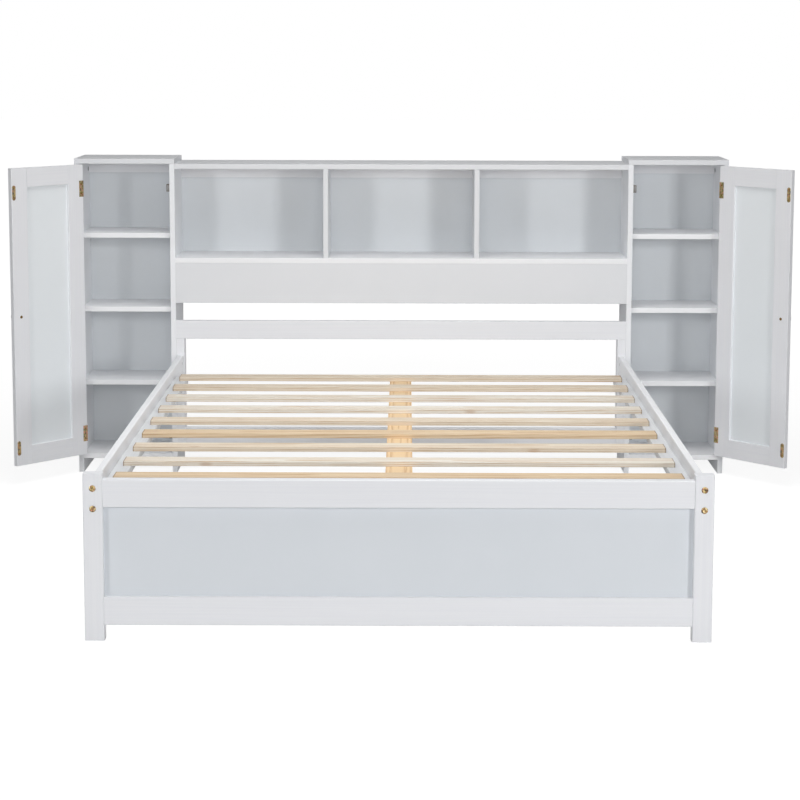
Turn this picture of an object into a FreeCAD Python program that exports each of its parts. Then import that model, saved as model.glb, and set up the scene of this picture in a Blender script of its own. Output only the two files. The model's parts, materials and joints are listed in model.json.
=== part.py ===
"""Full-size platform bed with a slatted deck, a panelled footboard and a storage headboard:
two shelved cabinets with framed doors, joined by a three-bay bookcase and the head rails.

Frame: +Z up, floor at Z = 0, foot of the bed towards -Y, head towards +Y, +X to the right seen
from the foot. The origin is on the floor at the middle of the overall length and width.
The doors stand open at DoorRestAngle from closed, which is where their joints read zero.
"""

import FreeCAD
import Part
import Sketcher
import math
import os
import re

SHEET = "Sizes"

# Driving sizes in millimetres, angles in degrees
SIZES = {
    # Sleeping space and the bed frame round it
    "MattressWidth": 1372,
    "MattressLength": 1905,
    "MattressSideGap": 13,
    "MattressEndGap": 10,
    "RailThick": 18,
    "RailHeight": 90,
    "RailTop": 383,
    "RailEase": 3,
    # Footboard
    "PostWidth": 46,
    "PostDepth": 30,
    "PostRise": 14,
    "PostEase": 3,
    "FootRailReveal": 2,
    "FootRailEase": 2.5,
    "FootTopRailHeight": 66,
    "FootBottomRailHeight": 68,
    "FootRailClearance": 37,
    "FootPanelThick": 8,
    "FootPanelSetback": 12,
    "FootGrooveDepth": 8,
    "PanelPlay": 1,
    # Slatted deck
    "SlatWidth": 60,
    "SlatThick": 12,
    "SlatEase": 1,
    "SlatCount": 9,
    "FirstSlatGap": 104,
    "LastSlatGap": 257.4,
    "SlatEndGap": 20,
    "DeckDrop": 21,
    "LedgerWidth": 40,
    "LedgerHeight": 18,
    "LedgerFootGap": 2,
    "DeckTail": 12,
    "BeamWidth": 66,
    "BeamThick": 22,
    "BeamLegSide": 40,
    # Bed bolts and cross dowels
    "BoltDiameter": 6,
    "BoltHeadDiameter": 15.5,
    "BoltHeadThick": 2,
    "BoltEdge": 21,
    "BoltPlay": 0.2,
    "DowelDiameter": 10,
    "DowelCover": 4,
    "DowelSetback": 40,
    # Head frame
    "HeadPostInset": 4,
    "HeadPostWidth": 27,
    "HeadPostDepth": 45,
    "HeadPostRise": 53,
    "HeadRailHeight": 59,
    "HeadRailThick": 22,
    "HeadRailEase": 2,
    "HeadBottomRailClearance": 88,
    # Storage boards
    "BoardThick": 16,
    "BoardEase": 1,
    "CabinetWidth": 318.5,
    "CabinetDepth": 230,
    "BottomBoardClearance": 45,
    "ShelfCount": 3,
    "BackPanelThick": 5,
    "BackRailHeight": 40,
    "HeadGap": 57,
    "ApronHeight": 129,
    "BridgeBayHeight": 284,
    "BridgeBayCount": 3,
    # Doors
    "DoorThick": 16,
    "DoorGap": 2,
    "DoorStileWidth": 60,
    "DoorRailHeight": 60,
    "DoorPanelThick": 5,
    "DoorPanelSetback": 8,
    "DoorGrooveDepth": 8,
    "DoorEase": 1.5,
    "DoorRestAngle": 132,
    "ShelfClearance": 3,
    # Wrap-around hinges
    "HingeHeight": 51,
    "HingeLeafWidth": 16,
    "HingeLeafThick": 0.9,
    "HingeKnuckleDiameter": 6,
    "HingePinDiameter": 3,
    "HingePinPlay": 0.05,
    "HingeKnuckleGap": 0.3,
    "HingeKnuckleRelief": 0.2,
    "HingeLeafPlay": 0.2,
    "HingeLeafRelief": 0.4,
    "HingeTopInset": 76,
    "HingeBottomInset": 68,
    # Knobs, strikes and magnetic catches
    "KnobRadius": 15.5,
    "KnobRimDepth": 17,
    "KnobDepth": 26,
    "KnobFootRadius": 8,
    "KnobNeckRadius": 5.5,
    "KnobNeckDepth": 9,
    "KnobBackset": 28,
    "KnobRise": 3,
    "StrikeHeight": 46,
    "StrikeWidth": 13,
    "StrikeThick": 1.2,
    "StrikeBackset": 9,
    "CatchHeight": 24,
    "CatchWidth": 12,
    "CatchDepth": 36,
    "CatchGap": 0.4,
    "CatchTopInset": 76,
    "CatchBottomInset": 56,
}

doc = FreeCAD.newDocument("PlatformBed")
sheet = doc.addObject("Spreadsheet::Sheet", SHEET)
for row, (alias, number) in enumerate(SIZES.items(), 1):
    sheet.set(f"A{row}", alias)
    sheet.set(f"B{row}", str(number))
    sheet.setAlias(f"B{row}", alias)
doc.recompute()

NODES = []

# Shared places, written as sums of the driving sizes
LENGTH = "(BoltHeadThick + PostDepth + MattressLength + MattressEndGap + CabinetDepth)"
FOOT = f"(BoltHeadThick - {LENGTH} / 2)"
HEAD = f"({FOOT} + PostDepth + MattressLength + MattressEndGap)"
BACK = f"({HEAD} + CabinetDepth)"
RAIL_INNER = "(MattressWidth / 2 + MattressSideGap)"
RAIL_MIDDLE = f"({RAIL_INNER} + RailThick / 2)"
POST_INNER = f"({RAIL_MIDDLE} - PostWidth / 2)"
HEAD_POST_INNER = f"({RAIL_INNER} - HeadPostInset)"
BRIDGE_HALF = f"({HEAD_POST_INNER} + HeadPostWidth)"
CABINET_OUTER = f"({BRIDGE_HALF} + CabinetWidth)"
BAY_WIDTH = "(CabinetWidth - 2 * BoardThick)"
RAIL_BOTTOM = "(RailTop - RailHeight)"
DECK_TOP = "(RailTop - DeckDrop)"
DECK_SEAT = f"({DECK_TOP} - SlatThick)"
DECK_END = f"({HEAD} - LastSlatGap + DeckTail)"
HEAD_POST_TOP = "(RailTop + HeadPostRise)"
APRON_BOTTOM = f"({HEAD_POST_TOP} + HeadRailHeight + HeadGap)"
BRIDGE_SHELF_BOTTOM = f"({APRON_BOTTOM} + ApronHeight)"
BOTTOM_BOARD_TOP = "(BottomBoardClearance + BoardThick)"
SHELF_SETBACK = "(DoorThick + ShelfClearance)"
BOARD_BACK = f"({BACK} - BackPanelThick)"
BRIDGE_SHELF_TOP = f"({BRIDGE_SHELF_BOTTOM} + BoardThick)"
BRIDGE_TOP_BOTTOM = f"({BRIDGE_SHELF_TOP} + BridgeBayHeight)"
SIDE_HEIGHT = f"({BRIDGE_TOP_BOTTOM} + BoardThick)"
HINGE_GAP = "(2 * HingeLeafThick + HingeLeafPlay)"
DOOR_WIDTH = f"({BAY_WIDTH} - {HINGE_GAP} - DoorGap)"
DOOR_BOTTOM = f"({BOTTOM_BOARD_TOP} + DoorGap)"
DOOR_HEIGHT = f"({SIDE_HEIGHT} - DoorGap - {DOOR_BOTTOM})"
HINGE_BOTTOMS = (
    f"({DOOR_BOTTOM} + HingeBottomInset - HingeHeight / 2)",
    f"({DOOR_BOTTOM} + {DOOR_HEIGHT} - HingeTopInset - HingeHeight / 2)",
)
CATCH_MIDDLES = (
    f"({DOOR_BOTTOM} + CatchBottomInset)",
    f"({DOOR_BOTTOM} + {DOOR_HEIGHT} - CatchTopInset)",
)
LEFT, RIGHT = "left", "right"
SIDES = (LEFT, RIGHT)
ALONG_X, ALONG_Y, ALONG_Z = "xyz"
UP = FreeCAD.Vector(0, 0, 1)
FULL_TURN_ANGLE = 360


def with_sheet(text):
    """Turn the plain size names in an expression into references to the sheet."""
    return re.sub(r"\b[A-Z][A-Za-z]+\b", lambda name: f"{SHEET}.{name.group(0)}", str(text))


def size_now(alias):
    """The number that a named size holds, or zero for no size."""
    return float(sheet.get(alias)) if alias else 0.0


def bind(thing, prop, text):
    thing.setExpression(prop, with_sheet(text))


def place(thing, corner):
    for axis, text in zip("xyz", corner):
        bind(thing, f"Placement.Base.{axis}", text)


def box(name, size, corner):
    """A block with its size and its lowest corner given as expressions."""
    block = doc.addObject("Part::Box", name)
    for prop, text in zip(("Length", "Width", "Height"), size):
        bind(block, prop, text)
    place(block, corner)
    return block


def rod(name, diameter, length, start, direction):
    """A round bar from its start point along the given axis direction."""
    bar = doc.addObject("Part::Cylinder", name)
    bind(bar, "Radius", f"{diameter} / 2")
    bind(bar, "Height", length)
    bar.Placement = FreeCAD.Placement(FreeCAD.Vector(), FreeCAD.Rotation(UP, FreeCAD.Vector(*direction)))
    place(bar, start)
    return bar


def eased(base, ease, axis):
    """Round the outer edges of a block that run along one axis."""
    doc.recompute([base])
    radius = size_now(ease)
    picked = []
    for number, edge in enumerate(base.Shape.Edges, 1):
        first, last = (vertex.Point for vertex in edge.Vertexes)
        if abs(getattr(last - first, axis)) > edge.Length / 2:
            picked.append((number, radius, radius))
    rounded = doc.addObject("Part::Fillet", f"{base.Name}_eased")
    rounded.Base = base
    rounded.Edges = picked
    return rounded


def cut(base, tools):
    """Take one or more tool solids out of a base solid."""
    for number, tool in enumerate(tools, 1):
        result = doc.addObject("Part::Cut", f"{base.Name}_cut_{number}")
        result.Base = base
        result.Tool = tool
        base = result
    return base


def fuse(name, pieces):
    joined = doc.addObject("Part::MultiFuse", name)
    joined.Shapes = pieces
    return joined


def group(name, pieces):
    """Several separate solids of one kind, kept as one named node."""
    together = doc.addObject("Part::Compound", name)
    together.Links = pieces
    return together


def node(piece, label):
    piece.Label = label
    NODES.append(piece)
    return piece


def mirrored(side, start, length):
    """Lowest X of a block that starts at a distance from the middle plane, on either side."""
    return f"(0 - {start} - {length})" if side == LEFT else start


def at_side(side, distance):
    return f"(0 - {distance})" if side == LEFT else distance


# Footboard: two posts, two rails with stub tenons and a floating panel in their grooves
PANEL_FRONT = f"({FOOT} + FootRailReveal + FootPanelSetback)"
FOOT_TOP_RAIL_BOTTOM = "(RailTop - FootTopRailHeight)"
FOOT_BOTTOM_RAIL_TOP = "(FootRailClearance + FootBottomRailHeight)"
TENON_THICK = "FootPanelThick"
FOOT_RAIL_THICK = "(PostDepth - 2 * FootRailReveal)"


def bolt_heights():
    return f"({RAIL_BOTTOM} + BoltEdge)", "(RailTop - BoltEdge)"


def bolt_holes(name, side, front, depth):
    """Clearance bores for the two bed bolts at one end of a side rail."""
    return [
        rod(f"{name}_bore_{number}", "(BoltDiameter + 2 * BoltPlay)", depth,
            (at_side(side, RAIL_MIDDLE), front, height), (0, 1, 0))
        for number, height in enumerate(bolt_heights(), 1)
    ]


def foot_post(side):
    name = f"foot_post_{side}"
    blank = eased(
        box(f"{name}_blank", ("PostWidth", "PostDepth", "(RailTop + PostRise)"),
            (mirrored(side, POST_INNER, "PostWidth"), FOOT, 0)),
        "PostEase", ALONG_Z)
    groove = box(
        f"{name}_groove",
        ("FootGrooveDepth", TENON_THICK, "(RailTop - FootRailClearance)"),
        (mirrored(side, POST_INNER, "FootGrooveDepth"), PANEL_FRONT, "FootRailClearance"))
    node(cut(blank, [groove] + bolt_holes(name, side, FOOT, "PostDepth")), name)


def foot_rail(name, bottom, height, groove_bottom, tenon_bottom):
    span = f"(2 * {POST_INNER})"
    blank = eased(
        box(f"{name}_blank", (span, FOOT_RAIL_THICK, height),
            (f"(0 - {POST_INNER})", f"({FOOT} + FootRailReveal)", bottom)),
        "FootRailEase", ALONG_X)
    groove = box(f"{name}_groove", (span, TENON_THICK, "FootGrooveDepth"),
                 (f"(0 - {POST_INNER})", PANEL_FRONT, groove_bottom))
    tenons = [
        box(f"{name}_tenon_{side}",
            ("FootGrooveDepth", TENON_THICK, f"({height} - FootGrooveDepth)"),
            (mirrored(side, POST_INNER, "FootGrooveDepth"), PANEL_FRONT, tenon_bottom))
        for side in SIDES
    ]
    node(fuse(f"{name}_whole", [cut(blank, [groove])] + tenons), name)


def footboard():
    for side in SIDES:
        foot_post(side)
    foot_rail("foot_top_rail", FOOT_TOP_RAIL_BOTTOM, "FootTopRailHeight",
              FOOT_TOP_RAIL_BOTTOM, f"({FOOT_TOP_RAIL_BOTTOM} + FootGrooveDepth)")
    foot_rail("foot_bottom_rail", "FootRailClearance", "FootBottomRailHeight",
              f"({FOOT_BOTTOM_RAIL_TOP} - FootGrooveDepth)", "FootRailClearance")
    lap = "(FootGrooveDepth - PanelPlay)"
    node(box("foot_panel",
             (f"(2 * {POST_INNER} + 2 * {lap})", "FootPanelThick",
              f"({FOOT_TOP_RAIL_BOTTOM} - {FOOT_BOTTOM_RAIL_TOP} + 2 * {lap})"),
             (f"(0 - {POST_INNER} - {lap})", PANEL_FRONT, f"({FOOT_BOTTOM_RAIL_TOP} - {lap})")),
         "foot_panel")


# Side rails bolted between the foot posts and the head posts, with cross dowels for the bolts
RAIL_FRONT = f"({FOOT} + PostDepth)"
RAIL_LENGTH = "(MattressLength + MattressEndGap)"
DOWEL_LENGTH = "(RailThick - DowelCover)"
BOLT_REACH = "(DowelSetback + BoltDiameter / 2)"
DOWEL_PLACES = (f"({RAIL_FRONT} + DowelSetback)", f"({HEAD} - DowelSetback)")


def side_rail(side):
    name = f"side_rail_{side}"
    blank = eased(
        box(f"{name}_blank", ("RailThick", RAIL_LENGTH, "RailHeight"),
            (mirrored(side, RAIL_INNER, "RailThick"), RAIL_FRONT, RAIL_BOTTOM)),
        "RailEase", ALONG_Y)
    bores = bolt_holes(f"{name}_foot", side, RAIL_FRONT, "DowelSetback")
    bores += bolt_holes(f"{name}_head", side, f"({HEAD} - DowelSetback)", "DowelSetback")
    for end, along in enumerate(DOWEL_PLACES, 1):
        for number, height in enumerate(bolt_heights(), 1):
            bores.append(
                rod(f"{name}_dowel_bore_{end}_{number}", "DowelDiameter", DOWEL_LENGTH,
                    (at_side(side, RAIL_INNER), along, height), outward(side)))
    node(cut(blank, bores), name)


def outward(side):
    return (-1, 0, 0) if side == LEFT else (1, 0, 0)


def bed_bolt(name, side, height, end):
    """A bolt with a flat round head, in from the foot face or from behind the head post."""
    if end == "foot":
        seat, direction, grip = FOOT, (0, 1, 0), "PostDepth"
        head_start = f"({FOOT} - BoltHeadThick)"
    else:
        seat, direction, grip = f"({HEAD} + HeadPostDepth)", (0, -1, 0), "HeadPostDepth"
        head_start = f"({HEAD} + HeadPostDepth + BoltHeadThick)"
    across = at_side(side, RAIL_MIDDLE)
    shank = rod(f"{name}_shank", "BoltDiameter", f"({grip} + {BOLT_REACH})",
                (across, seat, height), direction)
    head = rod(f"{name}_head", "BoltHeadDiameter", "BoltHeadThick",
               (across, head_start, height), direction)
    return fuse(name, [shank, head])


def cross_dowel(name, side, along, height, end):
    """A barrel nut with a blind cross bore for the bolt's tip, pushed in from the rail's inner face."""
    barrel = rod(f"{name}_barrel", "DowelDiameter", DOWEL_LENGTH,
                 (at_side(side, RAIL_INNER), along, height), outward(side))
    depth = "(DowelDiameter / 2 + BoltDiameter / 2 + BoltPlay)"
    if end == "foot":
        bore_start = f"({along} - DowelDiameter / 2)"
    else:
        bore_start = f"({along} + DowelDiameter / 2 - {depth})"
    bore = rod(f"{name}_bore", "(BoltDiameter + 2 * BoltPlay)", depth,
               (at_side(side, RAIL_MIDDLE), bore_start, height), (0, 1, 0))
    return cut(barrel, [bore])


def rail_fasteners():
    bolts, dowels = [], []
    for side in SIDES:
        for number, height in enumerate(bolt_heights(), 1):
            for end, along in zip(("foot", "head"), DOWEL_PLACES):
                tag = f"{side}_{end}_{number}"
                bolts.append(bed_bolt(f"bed_bolt_{tag}", side, height, end))
                dowels.append(cross_dowel(f"cross_dowel_{tag}", side, along, height, end))
    node(group("bed_bolts", bolts), "bed_bolts")
    node(group("cross_dowels", dowels), "cross_dowels")


# Slatted deck: ledgers on the rails, a centre beam on legs, and the slats across them
LEG_SHARES = (0.5, 0.94)
SLAT_PITCH = f"(({RAIL_LENGTH} - FirstSlatGap - LastSlatGap - SlatWidth) / (SlatCount - 1))"


def slat_deck():
    ledger_front = f"({RAIL_FRONT} + LedgerFootGap)"
    for side in SIDES:
        name = f"slat_ledger_{side}"
        node(box(name, ("LedgerWidth", f"({DECK_END} - {ledger_front})", "LedgerHeight"),
                 (mirrored(side, f"({RAIL_INNER} - LedgerWidth)", "LedgerWidth"),
                  ledger_front, f"({DECK_SEAT} - LedgerHeight)")), name)
    beam_front = f"({FOOT} + FootRailReveal + {FOOT_RAIL_THICK})"
    beam_length = f"({DECK_END} - {beam_front})"
    beam_bottom = f"({DECK_SEAT} - BeamThick)"
    node(box("centre_beam", ("BeamWidth", beam_length, "BeamThick"),
             ("(0 - BeamWidth / 2)", beam_front, beam_bottom)), "centre_beam")
    legs = [
        box(f"centre_leg_{number}", ("BeamLegSide", "BeamLegSide", beam_bottom),
            ("(0 - BeamLegSide / 2)", f"({beam_front} + {share} * {beam_length} - BeamLegSide / 2)", 0))
        for number, share in enumerate(LEG_SHARES, 1)
    ]
    node(group("centre_legs", legs), "centre_legs")
    slat_half = f"({RAIL_INNER} - SlatEndGap)"
    for number in range(int(SIZES["SlatCount"])):
        name = f"slat_{number + 1}"
        blank = box(f"{name}_blank", (f"(2 * {slat_half})", "SlatWidth", "SlatThick"),
                    (f"(0 - {slat_half})", f"({RAIL_FRONT} + FirstSlatGap + {number} * {SLAT_PITCH})",
                     DECK_SEAT))
        node(eased(blank, "SlatEase", ALONG_X), name)


# Head frame: posts fixed to the cabinets' inner sides, a rail on their tops and one between them
def head_frame():
    post_height = f"({HEAD_POST_TOP} - HeadBottomRailClearance)"
    for side in SIDES:
        name = f"head_post_{side}"
        blank = box(f"{name}_blank", ("HeadPostWidth", "HeadPostDepth", post_height),
                    (mirrored(side, HEAD_POST_INNER, "HeadPostWidth"), HEAD, "HeadBottomRailClearance"))
        node(cut(eased(blank, "HeadRailEase", ALONG_Z),
                 bolt_holes(name, side, HEAD, "HeadPostDepth")), name)
    for name, half, bottom in (
        ("head_top_rail", BRIDGE_HALF, HEAD_POST_TOP),
        ("head_bottom_rail", HEAD_POST_INNER, "HeadBottomRailClearance"),
    ):
        blank = box(f"{name}_blank", (f"(2 * {half})", "HeadRailThick", "HeadRailHeight"),
                    (f"(0 - {half})", HEAD, bottom))
        node(eased(blank, "HeadRailEase", ALONG_X), name)


# Bookcase bridge between the cabinets
def bridge():
    width = f"(2 * {BRIDGE_HALF})"
    left_end = f"(0 - {BRIDGE_HALF})"
    for name, bottom, depth in (
        ("bridge_top", BRIDGE_TOP_BOTTOM, "CabinetDepth"),
        ("bridge_shelf", BRIDGE_SHELF_BOTTOM, "(CabinetDepth - BackPanelThick)"),
    ):
        node(eased(box(f"{name}_blank", (width, depth, "BoardThick"), (left_end, HEAD, bottom)),
                   "BoardEase", ALONG_X), name)
    node(eased(box("bridge_apron_blank", (width, "BoardThick", "ApronHeight"),
                   (left_end, HEAD, APRON_BOTTOM)),
               "BoardEase", ALONG_X), "bridge_apron")
    for side in SIDES:
        name = f"bridge_divider_{side}"
        across = mirrored(side, f"({BRIDGE_HALF} / BridgeBayCount - BoardThick / 2)", "BoardThick")
        blank = eased(box(f"{name}_blank",
                          ("BoardThick", "(CabinetDepth - BackPanelThick)", "BridgeBayHeight"),
                          (across, HEAD, BRIDGE_SHELF_TOP)),
                      "BoardEase", ALONG_Z)
        notch = box(f"{name}_notch", ("BoardThick", "BoardThick", "BackRailHeight"),
                    (across, f"({BOARD_BACK} - BoardThick)", f"({BRIDGE_TOP_BOTTOM} - BackRailHeight)"))
        node(cut(blank, [notch]), name)


# Cabinets at the two sides of the head
def cabinet(side):
    for part, start in (
        ("inner_side", BRIDGE_HALF),
        ("outer_side", f"({CABINET_OUTER} - BoardThick)"),
    ):
        name = f"{side}_cabinet_{part}"
        node(eased(box(f"{name}_blank", ("BoardThick", "CabinetDepth", SIDE_HEIGHT),
                       (mirrored(side, start, "BoardThick"), HEAD, 0)),
                   "BoardEase", ALONG_Z), name)
    name = f"{side}_cabinet_top"
    node(eased(box(f"{name}_blank", ("CabinetWidth", "CabinetDepth", "BoardThick"),
                   (mirrored(side, BRIDGE_HALF, "CabinetWidth"), HEAD, SIDE_HEIGHT)),
               "BoardEase", ALONG_X), name)
    inner = mirrored(side, f"({BRIDGE_HALF} + BoardThick)", BAY_WIDTH)
    name = f"{side}_cabinet_bottom"
    node(eased(box(f"{name}_blank", (BAY_WIDTH, "(CabinetDepth - BackPanelThick)", "BoardThick"),
                   (inner, HEAD, "BottomBoardClearance")),
               "BoardEase", ALONG_X), name)
    clear = f"(({SIDE_HEIGHT} - {BOTTOM_BOARD_TOP} - ShelfCount * BoardThick) / (ShelfCount + 1))"
    shelves = [
        eased(box(f"{side}_cabinet_shelf_{number + 1}",
                  (BAY_WIDTH, f"(CabinetDepth - {SHELF_SETBACK} - BackPanelThick)", "BoardThick"),
                  (inner, f"({HEAD} + {SHELF_SETBACK})",
                   f"({BOTTOM_BOARD_TOP} + {clear} + {number} * ({clear} + BoardThick))")),
              "BoardEase", ALONG_X)
        for number in range(int(SIZES["ShelfCount"]))
    ]
    node(group(f"{side}_cabinet_shelves", shelves), f"{side}_cabinet_shelves")


def backs():
    """Thin back panels and the rails that stiffen them under the tops."""
    panels, rails = [], []
    bays = [
        ("bridge", f"(0 - {BRIDGE_HALF})", f"(2 * {BRIDGE_HALF})", BRIDGE_SHELF_BOTTOM, BRIDGE_TOP_BOTTOM),
    ]
    for side in SIDES:
        bays.append((side, mirrored(side, f"({BRIDGE_HALF} + BoardThick)", BAY_WIDTH), BAY_WIDTH,
                     "BottomBoardClearance", SIDE_HEIGHT))
    for name, start, width, bottom, top in bays:
        panels.append(box(f"{name}_back_panel", (width, "BackPanelThick", f"({top} - {bottom})"),
                          (start, BOARD_BACK, bottom)))
        rails.append(box(f"{name}_back_rail", (width, "BoardThick", "BackRailHeight"),
                         (start, f"({BOARD_BACK} - BoardThick)", f"({top} - BackRailHeight)")))
    node(group("back_panels", panels), "back_panels")
    node(group("back_rails", rails), "back_rails")


# Doors, drawn closed about their hinge pin and then swung to the rest angle.
# Across runs from the pin towards the latch side, depth runs back from the pin.
DOOR_EDGE = f"({HINGE_GAP} / 2)"
DOOR_FRONT = "(HingeKnuckleDiameter / 2 + HingeKnuckleRelief)"
DOOR_BACK = f"({DOOR_FRONT} + DoorThick)"
PIN_ACROSS = f"({CABINET_OUTER} - BoardThick - {DOOR_EDGE})"
PIN_DEPTH = f"({HEAD} - {DOOR_FRONT})"


def door_across(side, start, length):
    return start if side == LEFT else f"(0 - {start} - {length})"


def swing(side, piece):
    """Stand a piece drawn about the pin at its place on the open door."""
    piece.Placement = FreeCAD.Placement(FreeCAD.Vector(), FreeCAD.Rotation(UP, FULL_TURN_ANGLE / 2))
    bind(piece, "Placement.Rotation.Angle", at_side(side, "DoorRestAngle"))
    place(piece, (at_side(side, PIN_ACROSS), PIN_DEPTH, 0))
    return piece


def door_stile(side, name, start, groove_start):
    blank = eased(box(f"{name}_blank", ("DoorStileWidth", "DoorThick", DOOR_HEIGHT),
                      (door_across(side, start, "DoorStileWidth"), DOOR_FRONT, DOOR_BOTTOM)),
                  "DoorEase", ALONG_Z)
    groove = box(f"{name}_groove", ("DoorGrooveDepth", "DoorPanelThick", DOOR_HEIGHT),
                 (door_across(side, groove_start, "DoorGrooveDepth"),
                  f"({DOOR_BACK} - DoorPanelSetback - DoorPanelThick)", DOOR_BOTTOM))
    node(swing(side, cut(blank, [groove])), name)


def door_rail(side, name, bottom, groove_bottom, tenon_bottom):
    start = f"({DOOR_EDGE} + DoorStileWidth)"
    length = f"({DOOR_WIDTH} - 2 * DoorStileWidth)"
    tongue = f"({DOOR_BACK} - DoorPanelSetback - DoorPanelThick)"
    blank = eased(box(f"{name}_blank", (length, "DoorThick", "DoorRailHeight"),
                      (door_across(side, start, length), DOOR_FRONT, bottom)),
                  "DoorEase", ALONG_X)
    groove = box(f"{name}_groove", (length, "DoorPanelThick", "DoorGrooveDepth"),
                 (door_across(side, start, length), tongue, groove_bottom))
    tenons = [
        box(f"{name}_tenon_{number}",
            ("DoorGrooveDepth", "DoorPanelThick", "(DoorRailHeight - DoorGrooveDepth)"),
            (door_across(side, tenon_start, "DoorGrooveDepth"), tongue, tenon_bottom))
        for number, tenon_start in enumerate((f"({start} - DoorGrooveDepth)", f"({start} + {length})"), 1)
    ]
    return fuse(f"{name}_whole", [cut(blank, [groove])] + tenons)


def door_frame(side):
    latch_start = f"({DOOR_EDGE} + {DOOR_WIDTH} - DoorStileWidth)"
    door_stile(side, f"{side}_door_hinge_stile", DOOR_EDGE,
               f"({DOOR_EDGE} + DoorStileWidth - DoorGrooveDepth)")
    door_stile(side, f"{side}_door_latch_stile", latch_start, latch_start)
    top_rail_bottom = f"({DOOR_BOTTOM} + {DOOR_HEIGHT} - DoorRailHeight)"
    bottom_rail_top = f"({DOOR_BOTTOM} + DoorRailHeight)"
    rails = [
        door_rail(side, f"{side}_door_bottom_rail", DOOR_BOTTOM,
                  f"({bottom_rail_top} - DoorGrooveDepth)", DOOR_BOTTOM),
        door_rail(side, f"{side}_door_top_rail", top_rail_bottom,
                  top_rail_bottom, f"({top_rail_bottom} + DoorGrooveDepth)"),
    ]
    node(swing(side, group(f"{side}_door_rails", rails)), f"{side}_door_rails")
    lap = "(DoorGrooveDepth - PanelPlay)"
    width = f"({DOOR_WIDTH} - 2 * DoorStileWidth + 2 * {lap})"
    panel = box(f"{side}_door_panel_board",
                (width, "DoorPanelThick", f"({top_rail_bottom} - {bottom_rail_top} + 2 * {lap})"),
                (door_across(side, f"({DOOR_EDGE} + DoorStileWidth - {lap})", width),
                 f"({DOOR_BACK} - DoorPanelSetback - DoorPanelThick)", f"({bottom_rail_top} - {lap})"))
    node(swing(side, group(f"{side}_door_panel", [panel])), f"{side}_door_panel")


# Hinges: the cabinet leaf carries the two outer knuckles, and the door leaf the middle one.
# The door leaf runs along the door's edge and wraps on to its back.
KNUCKLE_THIRD = "(HingeHeight / 3)"
LEAF_START = "(HingeKnuckleDiameter / 2 + HingeLeafRelief)"
LEAF_FACE = "(HingeLeafPlay / 2)"


def door_leaf(side, name, bottom):
    middle = f"({bottom} + {KNUCKLE_THIRD} + HingeKnuckleGap)"
    middle_height = f"({KNUCKLE_THIRD} - 2 * HingeKnuckleGap)"
    across = door_across(side, LEAF_FACE, "HingeLeafThick")
    wrap_width = "(HingeLeafWidth + HingeLeafThick)"
    pieces = [
        rod(f"{name}_knuckle", "HingeKnuckleDiameter", middle_height, (0, 0, middle), (0, 0, 1)),
        box(f"{name}_tongue", ("HingeLeafThick", LEAF_START, middle_height), (across, 0, middle)),
        box(f"{name}_edge",
            ("HingeLeafThick", f"({DOOR_BACK} + HingeLeafThick - {LEAF_START})", "HingeHeight"),
            (across, LEAF_START, bottom)),
        box(f"{name}_wrap", (wrap_width, "HingeLeafThick", "HingeHeight"),
            (door_across(side, LEAF_FACE, wrap_width), DOOR_BACK, bottom)),
    ]
    bore = rod(f"{name}_bore", "(HingePinDiameter + 2 * HingePinPlay)", "HingeHeight",
               (0, 0, bottom), (0, 0, 1))
    return cut(fuse(f"{name}_solid", pieces), [bore])


def cabinet_leaf(side, name, bottom):
    """The fixed leaf, on the inner face of the cabinet's outer side, in world coordinates."""
    pin_x = at_side(side, PIN_ACROSS)
    knuckle_height = f"({KNUCKLE_THIRD} - HingeKnuckleGap)"
    leaf_x = mirrored(side, f"({PIN_ACROSS} + {LEAF_FACE})", "HingeLeafThick")
    pieces = [
        box(f"{name}_plate", ("HingeLeafThick", "HingeLeafWidth", "HingeHeight"),
            (leaf_x, f"({PIN_DEPTH} + {LEAF_START})", bottom)),
    ]
    for number, low in enumerate((bottom, f"({bottom} + 2 * {KNUCKLE_THIRD} + HingeKnuckleGap)"), 1):
        pieces.append(rod(f"{name}_knuckle_{number}", "HingeKnuckleDiameter", knuckle_height,
                          (pin_x, PIN_DEPTH, low), (0, 0, 1)))
        pieces.append(box(f"{name}_tongue_{number}", ("HingeLeafThick", LEAF_START, knuckle_height),
                          (leaf_x, PIN_DEPTH, low)))
    bore = rod(f"{name}_bore", "HingePinDiameter", "HingeHeight", (pin_x, PIN_DEPTH, bottom), (0, 0, 1))
    return cut(fuse(f"{name}_solid", pieces), [bore])


def hinges():
    fixed, pins = [], []
    for side in SIDES:
        moving = []
        for number, bottom in enumerate(HINGE_BOTTOMS, 1):
            moving.append(door_leaf(side, f"{side}_door_leaf_{number}", bottom))
            fixed.append(cabinet_leaf(side, f"{side}_cabinet_leaf_{number}", bottom))
            pins.append(rod(f"{side}_hinge_pin_{number}", "HingePinDiameter", "HingeHeight",
                            (at_side(side, PIN_ACROSS), PIN_DEPTH, bottom), (0, 0, 1)))
        node(swing(side, group(f"{side}_door_hinge_leaves", moving)), f"{side}_door_hinge_leaves")
    node(group("cabinet_hinge_leaves", fixed), "cabinet_hinge_leaves")
    node(group("hinge_pins", pins), "hinge_pins")


# Knobs, strikes and magnetic catches
def point_at(sketch, line, end, across, along):
    """Tie one end of a sketch line to its distances from the sketch origin."""
    for kind, text in (("DistanceX", across), ("DistanceY", along)):
        if text:
            number = sketch.addConstraint(Sketcher.Constraint(kind, -1, 1, line, end, size_now(text)))
            bind(sketch, f"Constraints[{number}]", text)


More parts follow.
